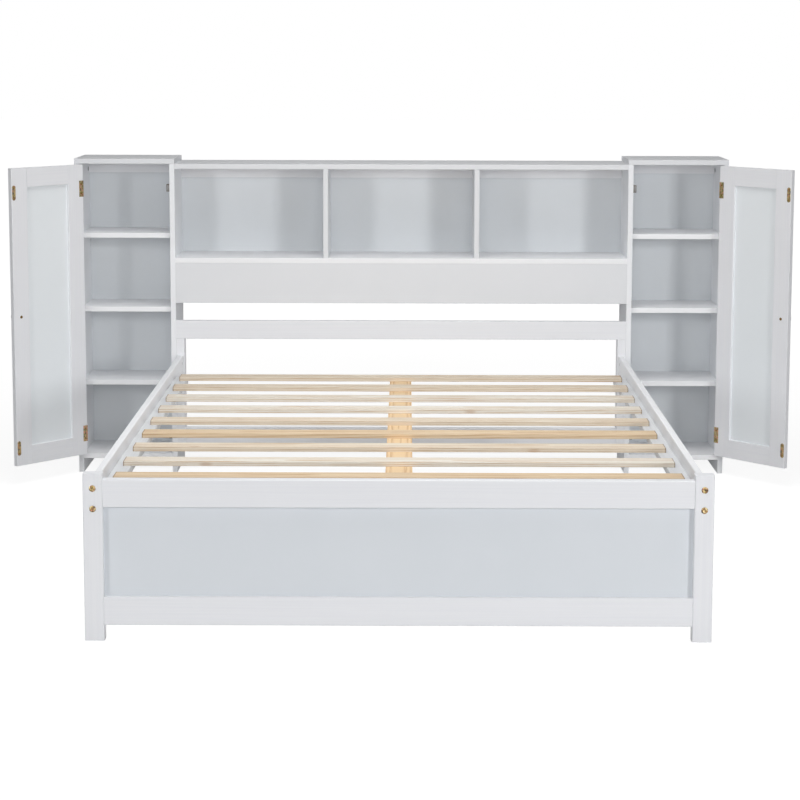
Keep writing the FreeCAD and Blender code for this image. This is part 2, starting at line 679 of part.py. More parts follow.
def knob(side):
    """A turned knob: flared foot, waisted neck and domed head, revolved about its own axis."""
    name = f"{side}_door_knob"
    body = doc.addObject("PartDesign::Body", f"{name}_body")
    sketch = body.newObject("Sketcher::SketchObject", f"{name}_profile")
    plane = next(feature for feature in body.Origin.OriginFeatures if feature.Role == "XZ_Plane")
    sketch.AttachmentSupport = [(plane, "")]
    sketch.MapMode = "FlatFace"
    outline = (
        ("", ""),
        ("KnobFootRadius", ""),
        ("KnobNeckRadius", "KnobNeckDepth"),
        ("KnobRadius", "KnobRimDepth"),
        ("", "KnobDepth"),
    )
    points = [FreeCAD.Vector(size_now(across), size_now(along), 0) for across, along in outline]
    for first, last in zip(points[:3], points[1:4]):
        sketch.addGeometry(Part.LineSegment(first, last))
    dome_radius = (points[3].x ** 2 / (points[4].y - points[3].y) + points[4].y - points[3].y) / 2
    centre = FreeCAD.Vector(0, points[4].y - dome_radius, 0)
    rim = points[3] - centre
    circle = Part.Circle(centre, UP, dome_radius)
    dome = sketch.addGeometry(Part.ArcOfCircle(circle, math.atan2(rim.y, rim.x), math.pi / 2))
    axis = sketch.addGeometry(Part.LineSegment(points[4], points[0]))
    for line in (0, 1):
        sketch.addConstraint(Sketcher.Constraint("Coincident", line, 2, line + 1, 1))
    sketch.addConstraint(Sketcher.Constraint("Coincident", 2, 2, dome, 1))
    sketch.addConstraint(Sketcher.Constraint("Coincident", dome, 2, axis, 1))
    sketch.addConstraint(Sketcher.Constraint("Coincident", axis, 2, 0, 1))
    sketch.addConstraint(Sketcher.Constraint("Coincident", 0, 1, -1, 1))
    sketch.addConstraint(Sketcher.Constraint("Horizontal", 0))
    sketch.addConstraint(Sketcher.Constraint("Vertical", axis))
    sketch.addConstraint(Sketcher.Constraint("PointOnObject", dome, 3, -2))
    for line, (across, along) in zip((0, 1, 2), outline[1:4]):
        point_at(sketch, line, 2, across, along)
    point_at(sketch, axis, 1, "", "KnobDepth")
    turned = body.newObject("PartDesign::Revolution", f"{name}_turned")
    turned.Profile = sketch
    turned.ReferenceAxis = (sketch, ["V_Axis"])
    turned.Angle = FULL_TURN_ANGLE
    body.Tip = turned
    across = f"({DOOR_EDGE} + {DOOR_WIDTH} - KnobBackset)"
    body.Placement = FreeCAD.Placement(FreeCAD.Vector(), FreeCAD.Rotation(UP, FreeCAD.Vector(0, -1, 0)))
    place(body, (across if side == LEFT else f"(0 - {across})", DOOR_FRONT,
                 f"({DOOR_BOTTOM} + {DOOR_HEIGHT} / 2 + KnobRise)"))
    node(swing(side, group(name, [body])), name)


def strike(side, name, middle):
    """An oval steel plate on the back of the door, for the magnet to hold."""
    across = f"({DOOR_EDGE} + {DOOR_WIDTH} - StrikeBackset)"
    straight = "(StrikeHeight - StrikeWidth)"
    pieces = [
        box(f"{name}_plate", ("StrikeWidth", "StrikeThick", straight),
            (door_across(side, f"({across} - StrikeWidth / 2)", "StrikeWidth"), DOOR_BACK,
             f"({middle} - {straight} / 2)")),
    ]
    for end, sign in (("low", "-"), ("high", "+")):
        pieces.append(rod(f"{name}_{end}_end", "StrikeWidth", "StrikeThick",
                          (door_across(side, across, 0), DOOR_BACK, f"({middle} {sign} {straight} / 2)"),
                          (0, 1, 0)))
    return fuse(name, pieces)


def latches():
    catches = []
    for side in SIDES:
        strikes = []
        for number, middle in enumerate(CATCH_MIDDLES, 1):
            strikes.append(strike(side, f"{side}_strike_{number}", middle))
            catches.append(box(f"{side}_catch_{number}", ("CatchWidth", "CatchDepth", "CatchHeight"),
                               (mirrored(side, f"({BRIDGE_HALF} + BoardThick)", "CatchWidth"),
                                f"({HEAD} + DoorThick + StrikeThick + CatchGap)",
                                f"({middle} - CatchHeight / 2)")))
        node(swing(side, group(f"{side}_door_strikes", strikes)), f"{side}_door_strikes")
    node(group("magnetic_catches", catches), "magnetic_catches")


def check(pieces):
    """Stop before anything is written if a feature failed or a node is not a sound solid."""
    failed = [thing.Name for thing in doc.Objects if {"Invalid", "Error"} & set(thing.State)]
    if failed:
        raise RuntimeError(f"failed features: {failed}")
    for piece in pieces:
        shape = piece.Shape
        if shape.isNull() or not shape.isValid() or not shape.Solids:
            raise RuntimeError(f"no sound solid in {piece.Label}")


footboard()
for hand in SIDES:
    side_rail(hand)
rail_fasteners()
slat_deck()
head_frame()
bridge()
for hand in SIDES:
    cabinet(hand)
backs()
for hand in SIDES:
    door_frame(hand)
hinges()
for hand in SIDES:
    knob(hand)
latches()

doc.recompute()
check(NODES)
os.makedirs("parts", exist_ok=True)
for piece in NODES:
    piece.Shape.exportStep(f"parts/{piece.Label}.step")
print(len(NODES), "nodes")
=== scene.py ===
"""Looks for a platform bed whose headboard is a bridge of open bays between two cabinets.

Lacquered pine and board, planed pine slats, plated fittings, a white studio and the camera.
"""
import json
import math

import bmesh
import bpy
from mathutils import Matrix, Vector


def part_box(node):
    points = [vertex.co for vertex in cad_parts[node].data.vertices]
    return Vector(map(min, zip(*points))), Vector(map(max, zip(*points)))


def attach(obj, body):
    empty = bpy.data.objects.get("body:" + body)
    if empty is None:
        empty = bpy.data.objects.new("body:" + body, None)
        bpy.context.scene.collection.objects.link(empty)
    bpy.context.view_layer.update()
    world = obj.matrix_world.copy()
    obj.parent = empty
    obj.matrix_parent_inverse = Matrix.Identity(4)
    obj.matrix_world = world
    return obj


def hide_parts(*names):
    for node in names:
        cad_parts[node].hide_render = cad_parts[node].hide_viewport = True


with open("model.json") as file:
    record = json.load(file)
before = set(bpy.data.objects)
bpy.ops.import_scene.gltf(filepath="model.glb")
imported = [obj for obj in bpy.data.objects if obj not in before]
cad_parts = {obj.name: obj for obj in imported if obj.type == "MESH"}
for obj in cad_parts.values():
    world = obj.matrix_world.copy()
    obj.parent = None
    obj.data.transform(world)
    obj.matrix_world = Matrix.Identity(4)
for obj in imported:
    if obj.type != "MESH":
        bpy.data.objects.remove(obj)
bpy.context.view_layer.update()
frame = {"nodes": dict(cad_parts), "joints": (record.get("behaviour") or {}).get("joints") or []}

MM = 0.001
SIDES = {"left": -1, "right": 1}
nodes = frame["nodes"]


# Finishes

def linear(hex_colour):
    """An sRGB hex colour as the linear colour that a shader's socket takes."""
    shares = [int(hex_colour[at:at + 2], 16) / 255 for at in (1, 3, 5)]
    return (*(s / 12.92 if s <= 0.04045 else ((s + 0.055) / 1.055) ** 2.4 for s in shares), 1.0)


def add(tree, kind, sockets, **settings):
    """Adds one node with its settings, and sets or links its sockets."""
    node = tree.nodes.new("ShaderNode" + kind)
    for name, value in settings.items():
        setattr(node, name, value)
    for name, value in sockets.items():
        if isinstance(value, bpy.types.NodeSocket):
            tree.links.new(value, node.inputs[name])
        else:
            node.inputs[name].default_value = value
    return node


def begin(name):
    """A new material's node tree, with its shader on the output and the object's own coordinates."""
    material = bpy.data.materials.new(name)
    material.use_nodes = True
    tree = material.node_tree
    shader = tree.nodes["Principled BSDF"]
    place = add(tree, "TexCoord", {}).outputs["Object"]
    return material, tree, shader, place


def blended(tree, shader, factor, low, high):
    """Colours the shader between two hex colours."""
    mix = add(tree, "Mix", {"Factor": factor, 6: linear(low), 7: linear(high)}, data_type="RGBA")
    tree.links.new(mix.outputs[2], shader.inputs["Base Color"])
    return mix


def roughened(tree, shader, factor, low, high):
    """Spreads the shader's roughness between two values."""
    spread = add(tree, "MapRange", {"Value": factor, "To Min": low, "To Max": high})
    tree.links.new(spread.outputs["Result"], shader.inputs["Roughness"])


def raised(tree, shader, height, depth, strength):
    """Bumps the shader by a height pattern of that depth in metres."""
    bump = add(tree, "Bump", {"Height": height, "Distance": depth, "Strength": strength})
    tree.links.new(bump.outputs["Normal"], shader.inputs["Normal"])


LACQUER_IOR = 1.5
GRAIN_WIDTH = 4 * MM       # pine's grain lines are about 2 mm apart; drawn twice as wide, to show
GRAIN_LENGTH = 320 * MM
MOTTLE = 180 * MM          # how far apart a sprayed coat's thicker and thinner places are
STIPPLE = 3 * MM           # a spray coat's orange peel is about 1 mm; drawn coarser, to show


def lacquered_pine(name, turn, crest="#E8E9EC", hollow="#E5E6EA"):
    """Satin white lacquer sprayed on planed pine: a soft cool white in which the grain just
    shows as long low ridges along the piece, with slightly glossier and duller places."""
    material, tree, shader, place = begin(name)
    shader.inputs["IOR"].default_value = LACQUER_IOR
    along = add(tree, "Mapping", {"Vector": place, "Rotation": turn})
    stretched = add(tree, "Mapping", {
        "Vector": along.outputs["Vector"],
        "Scale": (1 / GRAIN_LENGTH, 1 / GRAIN_WIDTH, 1 / GRAIN_WIDTH),
    })
    grain = add(tree, "TexNoise", {
        "Vector": stretched.outputs["Vector"], "Scale": 1.0, "Detail": 3.0, "Distortion": 0.3,
    })
    mottle = add(tree, "TexNoise", {"Vector": place, "Scale": 1 / MOTTLE, "Detail": 2.0})
    tone = add(tree, "MapRange", {"Value": grain.outputs["Fac"], "From Min": 0.35, "From Max": 0.7})
    blended(tree, shader, tone.outputs["Result"], crest, hollow)
    roughened(tree, shader, mottle.outputs["Fac"], 0.52, 0.64)
    raised(tree, shader, grain.outputs["Fac"], 0.04 * MM, 0.3)
    return material


def lacquered_board(name, low, high, duller):
    """White lacquer on smooth fibreboard: flat and even, with a fine orange peel from the spray
    gun and a tone that drifts a little over a hand's breadth."""
    material, tree, shader, place = begin(name)
    shader.inputs["IOR"].default_value = LACQUER_IOR
    mottle = add(tree, "TexNoise", {"Vector": place, "Scale": 1 / MOTTLE, "Detail": 3.0})
    peel = add(tree, "TexNoise", {"Vector": place, "Scale": 1 / STIPPLE, "Detail": 1.0})
    blended(tree, shader, mottle.outputs["Fac"], low, high)
    roughened(tree, shader, mottle.outputs["Fac"], duller - 0.06, duller + 0.06)
    raised(tree, shader, peel.outputs["Fac"], 0.03 * MM, 0.4)
    return material


RING_WIDTH = 4.5 * MM      # a slow pine's yearly ring, 2 to 5 mm
FIBRE_WIDTH = 3 * MM       # fibre streaks are about 1 mm apart; drawn coarser, to show
FIBRE_LENGTH = 90 * MM
KNOT_SPACING = (260 * MM, 85 * MM, 85 * MM)
PINE_IOR = 1.5
KNOT_TAN = "#A9784A"
# a dark brown for a board's ends, and for the painted shade along its long edges
DARK_END_AND_SHADE_BROWN = "#7A5C40"
END_BROWN = 0.75           # how much of that brown a board's ends take, and how much painted shade its long edges take
EDGE_PAINTED_SHADE = 0.1


def planed_pine(name, turn, pith, pale, warm, low, high):
    """Planed pine with no finish: pale sapwood with warmer yearly rings that run out along the
    board, fine fibre streaks, a few small tan knots and a dry dull face, dark brown at the
    ends of the box from low to high and with painted shade along its long edges."""
    material, tree, shader, place = begin(name)
    shader.inputs["IOR"].default_value = PINE_IOR
    along = add(tree, "Mapping", {"Vector": place, "Rotation": turn, "Location": pith})
    log = add(tree, "Mapping", {"Vector": along.outputs["Vector"], "Scale": (0.05, 1.0, 1.0)})
    rings = add(tree, "TexWave", {
        "Vector": log.outputs["Vector"], "Scale": math.tau / (20 * RING_WIDTH),
        "Distortion": 5.0, "Detail": 2.0, "Detail Scale": 0.35, "Detail Roughness": 0.5,
    }, wave_type="RINGS", rings_direction="X", wave_profile="SAW")
    late = add(tree, "MapRange", {
        "Value": rings.outputs["Fac"], "From Min": 0.3, "From Max": 1.0,
    }, interpolation_type="SMOOTHSTEP")
    strands = add(tree, "Mapping", {
        "Vector": along.outputs["Vector"],
        "Scale": (1 / FIBRE_LENGTH, 1 / FIBRE_WIDTH, 1 / FIBRE_WIDTH),
    })
    fibre = add(tree, "TexNoise", {"Vector": strands.outputs["Vector"], "Scale": 1.0, "Detail": 2.0})
    sparse = add(tree, "Mapping", {
        "Vector": along.outputs["Vector"], "Scale": tuple(1 / gap for gap in KNOT_SPACING),
    })
    knots = add(tree, "TexVoronoi", {"Vector": sparse.outputs["Vector"], "Scale": 1.0})
    knot = add(tree, "MapRange", {
        "Value": knots.outputs["Distance"], "From Min": 0.09, "From Max": 0.02, "To Max": 0.4,
    }, interpolation_type="SMOOTHSTEP")
    drawn = add(tree, "MapRange", {
        "Value": fibre.outputs["Fac"], "From Min": 0.3, "From Max": 0.65, "To Min": 0.15,
    })
    streak = add(tree, "Math", {0: late.outputs["Result"], 1: drawn.outputs["Result"]},
                 operation="MULTIPLY")
    boards = blended(tree, shader, streak.outputs["Value"], pale, warm)
    whole = add(tree, "Mix", {
        "Factor": knot.outputs["Result"], 6: boards.outputs[2], 7: linear(KNOT_TAN),
    }, data_type="RGBA")
    centred = add(tree, "VectorMath", {0: place, 1: (low + high) / 2}, operation="SUBTRACT")
    split = add(tree, "SeparateXYZ", {"Vector": centred.outputs["Vector"]})
    half = (high - low) / 2
    # the box's ends turn dark brown, and its long edges take the brown as painted shade
    for axis, reach, share in (("X", half.x, END_BROWN), ("Y", half.y, EDGE_PAINTED_SHADE)):
        out = add(tree, "Math", {0: split.outputs[axis]}, operation="ABSOLUTE")
        end_brown_and_edge_shade = add(tree, "MapRange", {
            "Value": out.outputs["Value"], "From Min": reach - 3 * MM, "From Max": reach - 1 * MM,
            "To Max": share,
        })
        whole = add(tree, "Mix", {
            "Factor": end_brown_and_edge_shade.outputs["Result"], 6: whole.outputs[2], 7: linear(DARK_END_AND_SHADE_BROWN),
        }, data_type="RGBA")
    tree.links.new(whole.outputs[2], shader.inputs["Base Color"])
    roughened(tree, shader, fibre.outputs["Fac"], 0.55, 0.75)
    raised(tree, shader, fibre.outputs["Fac"], 0.1 * MM, 0.5)
    return material


SCUFF = 0.8 * MM           # how far apart the scuffs are that small parts get in a plating barrel


def plated(name, low, high, duller, cloud):
    """Plated steel: a metal whose plate varies in colour over a few millimetres, with fine
    barrel scuffs that blur its shine."""
    material, tree, shader, place = begin(name)
    shader.inputs["Metallic"].default_value = 1.0
    clouds = add(tree, "TexNoise", {"Vector": place, "Scale": 1 / cloud, "Detail": 2.0})
    scuffs = add(tree, "TexNoise", {"Vector": place, "Scale": 1 / SCUFF, "Detail": 2.0})
    blended(tree, shader, clouds.outputs["Fac"], low, high)
    roughened(tree, shader, scuffs.outputs["Fac"], duller - 0.1, duller + 0.1)
    raised(tree, shader, scuffs.outputs["Fac"], 0.02 * MM, 0.3)
    return material


def passivated(name, straw, olive, rose, stain, film):
    """Yellow passivated zinc: a straw film that turns olive and rose in patches a few millimetres
    wide, as thin films do, with dark stained spots and a satin shine."""
    material, tree, shader, place = begin(name)
    shader.inputs["Metallic"].default_value = 1.0
    patches = add(tree, "TexNoise", {"Vector": place, "Scale": 1 / film, "Detail": 2.0})
    split = add(tree, "SeparateColor", {"Color": patches.outputs["Color"]})
    greener, redder, darker = (
        add(tree, "MapRange", {"Value": split.outputs[channel], "From Min": low, "From Max": high},
            interpolation_type="SMOOTHSTEP").outputs["Result"]
        for channel, low, high in (("Red", 0.4, 0.6), ("Green", 0.46, 0.62), ("Blue", 0.5, 0.66))
    )
    tint = blended(tree, shader, greener, straw, olive)
    for share, colour in ((redder, rose), (darker, stain)):
        tint = add(tree, "Mix", {
            "Factor": share, 6: tint.outputs[2], 7: linear(colour),
        }, data_type="RGBA")
    tree.links.new(tint.outputs[2], shader.inputs["Base Color"])
    roughened(tree, shader, patches.outputs["Fac"], 0.25, 0.45)
    raised(tree, shader, patches.outputs["Fac"], 0.05 * MM, 0.3)
    return material


PLASTIC_IOR = 1.46
SPARK_GRAIN = 0.5 * MM     # how coarse a spark-eroded mould's grain is


def moulded_plastic(name, low, high):
    """Moulded taupe plastic: a dull even grey-brown with the fine spark grain of the mould."""
    material, tree, shader, place = begin(name)
    shader.inputs["IOR"].default_value = PLASTIC_IOR
    spark = add(tree, "TexNoise", {"Vector": place, "Scale": 1 / SPARK_GRAIN, "Detail": 1.0})
    blended(tree, shader, spark.outputs["Fac"], low, high)
    roughened(tree, shader, spark.outputs["Fac"], 0.45, 0.6)
    raised(tree, shader, spark.outputs["Fac"], 0.03 * MM, 0.4)
    return material


QUARTER = math.pi / 2
UPRIGHT = (0.0, QUARTER, 0.0)      # turns a piece's upright grain to lie along x
LENGTHWISE = (0.0, 0.0, -QUARTER)  # turns grain along the bed to lie along x
CROSSWISE = (0.0, 0.0, 0.0)

joints = {joint["child"]: joint for joint in frame["joints"]}
SWING = -math.radians(joints["left_door"]["range_deg"][0])  # how far open the doors stand at rest
DOOR_TONES = ("#EBECEF", "#E8E9ED")

pine_upright = lacquered_pine("white_lacquered_pine_upright", UPRIGHT)
pine_crosswise = lacquered_pine("white_lacquered_pine_crosswise", CROSSWISE)
# The side rails take a lighter white than the other pine: painted light on their inner faces.
side_rail_pine_painted_light = lacquered_pine("white_lacquered_pine_lengthwise_painted_light", LENGTHWISE, "#F2F3F5", "#EFF0F3")
# The back rails take a lighter white than the panels behind them: painted light on the rails that stand
# proud of the panels.
rail_pine_painted_light = lacquered_pine("white_coat_on_pine_painted_light", CROSSWISE, "#ECEDF0", "#E9EAED")
pine_door = lacquered_pine("white_lacquered_pine_door", UPRIGHT, *DOOR_TONES)
# The ledgers take a greyer white than the rails: painted shade for their place under the slats and
# beside the rails.
pine_ledger = lacquered_pine("white_coat_on_pine_painted_shade", LENGTHWISE, "#D8DADC", "#D0D2D5")
board = lacquered_board("white_lacquered_fibreboard", "#E1E2E5", "#DDDFE2", 0.66)
cabinet_board = lacquered_board("matt_white_lacquered_cabinet_board", "#EFF0F3", "#EBEDF0", 0.88)
# The shelves and cabinet bottoms take a lighter white than the other boards: painted light on their
# tops from above and in front.
shelf_board_painted_light = lacquered_board("white_lacquered_shelf_board_painted_light", "#F1F2F4", "#EEEFF1", 0.66)
thin_board = lacquered_board("white_lacquered_thin_board", "#DCE0E3", "#D7DBDF", 0.66)
door_board = lacquered_board("white_lacquered_door_board", "#EDF1F4", "#E9EEF1", 0.62)
foot_board = lacquered_board("white_lacquered_foot_board", "#D9DDE2", "#D4D9DE", 0.62)
knob_lacquer = lacquered_board("white_gloss_knob_lacquer", "#EAEBED", "#E4E6E9", 0.25)
brass = passivated("yellow_passivated_hinge_plate", "#AA9E74", "#7C7A4A", "#BE8E78", "#5E5A4C", 7 * MM)
strike_brass = passivated("yellow_passivated_strike", "#B09C70", "#7E774A", "#A87C64", "#4A4C4C",
                          5 * MM)
screw_brass = plated("worn_brass_screw", "#8E7140", "#6A5230", 0.35, 3 * MM)
yellow_zinc = passivated("yellow_passivated_bolt", "#C6B68C", "#867A40", "#A67860", "#4C3E36", 4.5 * MM)
zinc = plated("zinc_plate", "#A9ABAD", "#8F9193", 0.35, 5 * MM)
cam_zinc = plated("dull_zinc_cam", "#8B8D8F", "#77797B", 0.5, 5 * MM)
brown_plastic = moulded_plastic("moulded_taupe_plastic", "#7A736C", "#66605A")

for name, node in nodes.items():
    node.data.materials.clear()
    if name == "foot_panel":
        finish = foot_board
    elif name == "back_panels":
        finish = thin_board
    elif name.endswith("door_panel"):
        finish = door_board
    elif name.endswith("stile"):
        finish = pine_door
    elif "post" in name:
        finish = pine_upright
    elif name.startswith("side_rail"):
        finish = side_rail_pine_painted_light
    elif name.startswith("slat_ledger"):
        finish = pine_ledger
    elif name == "back_rails":
        finish = rail_pine_painted_light
    elif name.startswith(("foot_", "head_")):
        finish = pine_crosswise
    elif name.endswith("knob"):
        finish = knob_lacquer
    elif "hinge" in name or name.endswith("strikes"):
        finish = brass
    elif name == "bed_bolts":
        finish = yellow_zinc
    elif name == "cross_dowels":
        finish = zinc
    elif name == "magnetic_catches":
        finish = brown_plastic
    elif name.endswith(("shelf", "shelves", "bottom")):
        finish = shelf_board_painted_light
    elif "cabinet" in name and not name.endswith("top"):
        finish = cabinet_board
    else:
        finish = board
    node.data.materials.append(finish)

for side, hand in SIDES.items():
    nodes[f"{side}_door_rails"].data.materials[0] = lacquered_pine(
        f"white_lacquered_pine_{side}_door_rails", (0.0, 0.0, -hand * SWING), *DOOR_TONES)

# Each slat is a board of its own: its tones, where its log's pith lies, and how its grain runs out
SAPWOOD = ("#E8E2D6", "#C4A582")  # the pale wood, and the warm late wood of its rings
STRAW = ("#E2D6C3", "#BC9D7C")
HONEY = ("#DEC8A8", "#B8926A")
AMBER = ("#E6C9A0", "#C29668")
SLAT_TONES = (HONEY, SAPWOOD, STRAW, HONEY, STRAW, SAPWOOD, SAPWOOD, STRAW, STRAW)
CUT_APART = 370 * MM       # how far along the log the boards were cut from each other
PITH_ASIDE = 14 * MM       # how far the pith lies to one side of a board and below it
PITH_UNDER = 18 * MM
PITH_STEP = 9 * MM
RUN_OUT = math.radians(0.5)
RUN_ASIDE = math.radians(0.4)
WHOLE = (Vector((-2, -2, -2)), Vector((2, 2, 2)))  # a box past the timber, for no dark brown ends and no painted shade
for number, (pale, warm) in enumerate(SLAT_TONES, 1):
    low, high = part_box(f"slat_{number}")
    middle = (low + high) / 2
    off_centre = (number % 3 - 1) * PITH_ASIDE
    under = PITH_UNDER + number % 4 * PITH_STEP
    pith = (number * CUT_APART, off_centre - middle.y, under - middle.z)
    tilt = (0.0, (-1) ** number * RUN_OUT, RUN_ASIDE)
    nodes[f"slat_{number}"].data.materials[0] = planed_pine(
        f"planed_pine_slat_{number}", tilt, pith, pale, warm, low, high)
nodes["centre_beam"].data.materials[0] = planed_pine(
    "planed_pine_beam", LENGTHWISE, (0.2, 0.0, -300 * MM), *AMBER, *WHOLE)
nodes["centre_legs"].data.materials[0] = planed_pine(
    "planed_pine_legs", UPRIGHT, (0.6, 30 * MM, 20 * MM), *HONEY, *WHOLE)


# Eased edges on the plain boards

ARRIS = 1.2 * MM
EASE_STEPS = 3
SAME_POINT = 0.01 * MM     # points of the CAD mesh closer than this are one
for name in ("slat_ledger_left", "slat_ledger_right", "centre_beam", "centre_legs", "back_rails"):
    weld = nodes[name].modifiers.new("joined_faces", "WELD")
    weld.merge_threshold = SAME_POINT
    ease = nodes[name].modifiers.new("eased_edges", "BEVEL")
    ease.width = ARRIS
    ease.segments = EASE_STEPS
    ease.limit_method = "ANGLE"


# Fittings

def extended(bm, ring):
    """Extrudes a ring of edges where it lies, and gives the new points and their ring."""
    made = bmesh.ops.extrude_edge_only(bm, edges=ring)["geom"]
    fresh = {item for item in made if isinstance(item, bmesh.types.BMVert)}
    edges = [item for item in made
             if isinstance(item, bmesh.types.BMEdge) and fresh.issuperset(item.verts)]
    return fresh, edges


def carried(bm, ring, places):
    """Extrudes a ring of edges about the z axis through (radius, height) places."""
    for radius, height in places:
        fresh, ring = extended(bm, ring)
        for vert in fresh:
            flat = vert.co.xy.normalized() * radius
            vert.co = (flat.x, flat.y, height)
    return ring


def turned(profile, steps):
    """A shape turned about the z axis from (radius, height) points."""
    bm = bmesh.new()
    verts = [bm.verts.new((radius, 0.0, height)) for radius, height in profile]
    edges = [bm.edges.new(pair) for pair in zip(verts, verts[1:])]
    bmesh.ops.spin(bm, geom=verts + edges, cent=(0, 0, 0), axis=(0, 0, 1), angle=math.tau,
                   steps=steps, use_merge=True)
    return bm


def repeated(pattern, places):
    """One bmesh with the pattern set down at each place."""
    mesh = bpy.data.meshes.new("pattern")
    pattern.to_mesh(mesh)
    pattern.free()
    bm = bmesh.new()
    for place in places:
        start = len(bm.verts)
        bm.from_mesh(mesh)
        bm.verts.ensure_lookup_table()
        bmesh.ops.transform(bm, matrix=place, verts=bm.verts[start:])
    bpy.data.meshes.remove(mesh)
    return bm


STITCH = 0.002 * MM        # points of a piece closer than this are joined
SHARP = math.radians(32)   # edges that turn more than this stay crisp


def fitted(name, bm, finish, body, slot, *stands_for):
    """Closes a bmesh into a piece that rides on its body and takes the given finish. Its slot is not
    used.
    """
    bmesh.ops.remove_doubles(bm, verts=bm.verts, dist=STITCH)
    bmesh.ops.recalc_face_normals(bm, faces=bm.faces)
    mesh = bpy.data.meshes.new(name)
    bm.to_mesh(mesh)
    bm.free()
    mesh.shade_smooth()
    mesh.set_sharp_from_angle(angle=SHARP)
    mesh.materials.append(finish)
    piece = bpy.data.objects.new(name, mesh)
    bpy.context.scene.collection.objects.link(piece)
    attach(piece, body)
    if stands_for:
        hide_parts(*stands_for)


FORWARD = Matrix.Rotation(QUARTER, 4, "X")    # a fitting's z axis towards the foot end
BACKWARD = Matrix.Rotation(-QUARTER, 4, "X")  # a fitting's z axis towards the head end

SOCKET_FLAT = 2.5 * MM     # half of a 5 mm hexagon key
SOCKET_SIDES = 6
SOCKET_STEPS = 8
SOCKET_DEPTH = 4.0 * MM
SOCKET_LIP = 0.4 * MM      # how far down the mouth's chamfer reaches
DRILL_POINT = 1.5 * MM     # the drill's cone below the socket's floor
BOLT_HEAD = 7.75 * MM
SHANK = 3.0 * MM
SHANK_END = 2.2 * MM
SHANK_CHAMFER = 1.0 * MM
HEAD_DOME = (              # radius and height in mm, from the socket's mouth round to the seat
    (3.4, -0.1), (4.6, 0.0), (6.0, -0.12), (7.1, -0.5), (7.6, -1.0), (7.75, -1.5), (7.75, -2.0),
    (3.0, -2.0),
)
FOOT_BOLT = 75 * MM
HEAD_BOLT = 90 * MM


def socket_bolt(length):
    """A flat round head with a domed rim and a hexagon socket, on a plain shank, head face at z 0."""
    bm = bmesh.new()
    bmesh.ops.create_circle(bm, cap_ends=True, segments=SOCKET_SIDES * SOCKET_STEPS, radius=SOCKET_FLAT)
    sector = math.tau / SOCKET_SIDES
    for vert in bm.verts:
        angle = math.atan2(vert.co.y, vert.co.x) % sector - sector / 2
        vert.co = vert.co.normalized() * SOCKET_FLAT / math.cos(angle)
        vert.co.z = -SOCKET_DEPTH
    rim = bm.edges[:]
    drilled = bmesh.ops.poke(bm, faces=bm.faces[:])["verts"]
    bmesh.ops.translate(bm, vec=(0.0, 0.0, -DRILL_POINT), verts=drilled)
    mouth, ring = extended(bm, rim)
    for vert in mouth:
        vert.co.z = -SOCKET_LIP
    ring = carried(bm, ring, [(radius * MM, height * MM) for radius, height in HEAD_DOME])
    ring = carried(bm, ring, [(SHANK, SHANK_CHAMFER - length), (SHANK_END, -length)])
    bmesh.ops.contextual_create(bm, geom=ring)
    return bm


bolt_low, bolt_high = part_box("bed_bolts")
bolt_across = bolt_high.x - BOLT_HEAD
bolt_heights = (bolt_low.z + BOLT_HEAD, bolt_high.z - BOLT_HEAD)
for end, depth, turn, length in (
    ("foot", bolt_low.y, FORWARD, FOOT_BOLT),
    ("head", bolt_high.y, BACKWARD, HEAD_BOLT),
):
    places = [Matrix.Translation((hand * bolt_across, depth, height)) @ turn
              for hand in SIDES.values() for height in bolt_heights]
    fitted(f"{end}_bed_bolts", repeated(socket_bolt(length), places), yellow_zinc, "bed",
           "yellow_zinc", "bed_bolts")


CROSS_REACH = 0.62         # a screw's cross recess, as a share of its head's radius
CROSS_WIDTH = 0.2
CROSS_TAPER = 0.6          # the recess's floor, as a share of its mouth
SCREW_DOME = ((0.86, 1.0), (0.96, 0.75), (1.0, 0.35), (1.0, 0.0))  # shares of radius and rise
KNOB_SCREW = (4.5 * MM, 1.7 * MM, 1.3 * MM)     # radius, rise and recess
HINGE_SCREW = (3.2 * MM, 0.7 * MM, 0.55 * MM)
STRIKE_SCREW = (2.9 * MM, 0.4 * MM, 0.3 * MM)
CATCH_SCREW = (2.8 * MM, 1.2 * MM, 0.9 * MM)
CAM_HEAD = (7.5 * MM, 0.6 * MM, 0.5 * MM)


def cross_screw(radius, rise, sunk):
    """A low domed screw head with a cross recess sunk to a tapered floor, standing on z 0."""
    bm = bmesh.new()
    reach = CROSS_REACH * radius
    bmesh.ops.create_grid(bm, x_segments=3, y_segments=3, size=reach)
    for vert in bm.verts:
        for axis in (0, 1):
            if abs(vert.co[axis]) < reach / 2:
                vert.co[axis] = math.copysign(CROSS_WIDTH * radius / 2, vert.co[axis])
        vert.co.z = rise
    cross = [face for face in bm.faces
             if min(abs(face.calc_center_median().x), abs(face.calc_center_median().y)) < reach / 9]
    rim = [edge for edge in bm.edges if edge.is_boundary]
    carried(bm, rim, [(out * radius, up * rise) for out, up in SCREW_DOME])
    made = bmesh.ops.extrude_face_region(bm, geom=cross)["geom"]
    floor_verts = [item for item in made if isinstance(item, bmesh.types.BMVert)]
    bmesh.ops.delete(bm, geom=[face for face in cross if face.is_valid], context="FACES_ONLY")
    bmesh.ops.scale(bm, vec=(CROSS_TAPER, CROSS_TAPER, 1.0), verts=floor_verts)
    bmesh.ops.translate(bm, vec=(0.0, 0.0, -sunk), verts=floor_verts)
    return bm


def on_door(side, across, depth, height):
    """Where a fitting sits on an open door: across from the pin, in from the pin, and up."""
    hand = SIDES[side]
    pin = Vector(joints[f"{side}_door"]["pos_m"])
    return (Matrix.Translation((pin.x, pin.y, 0.0)) @ Matrix.Rotation(hand * SWING, 4, "Z")
            @ Matrix.Translation((-hand * across, depth, height)))


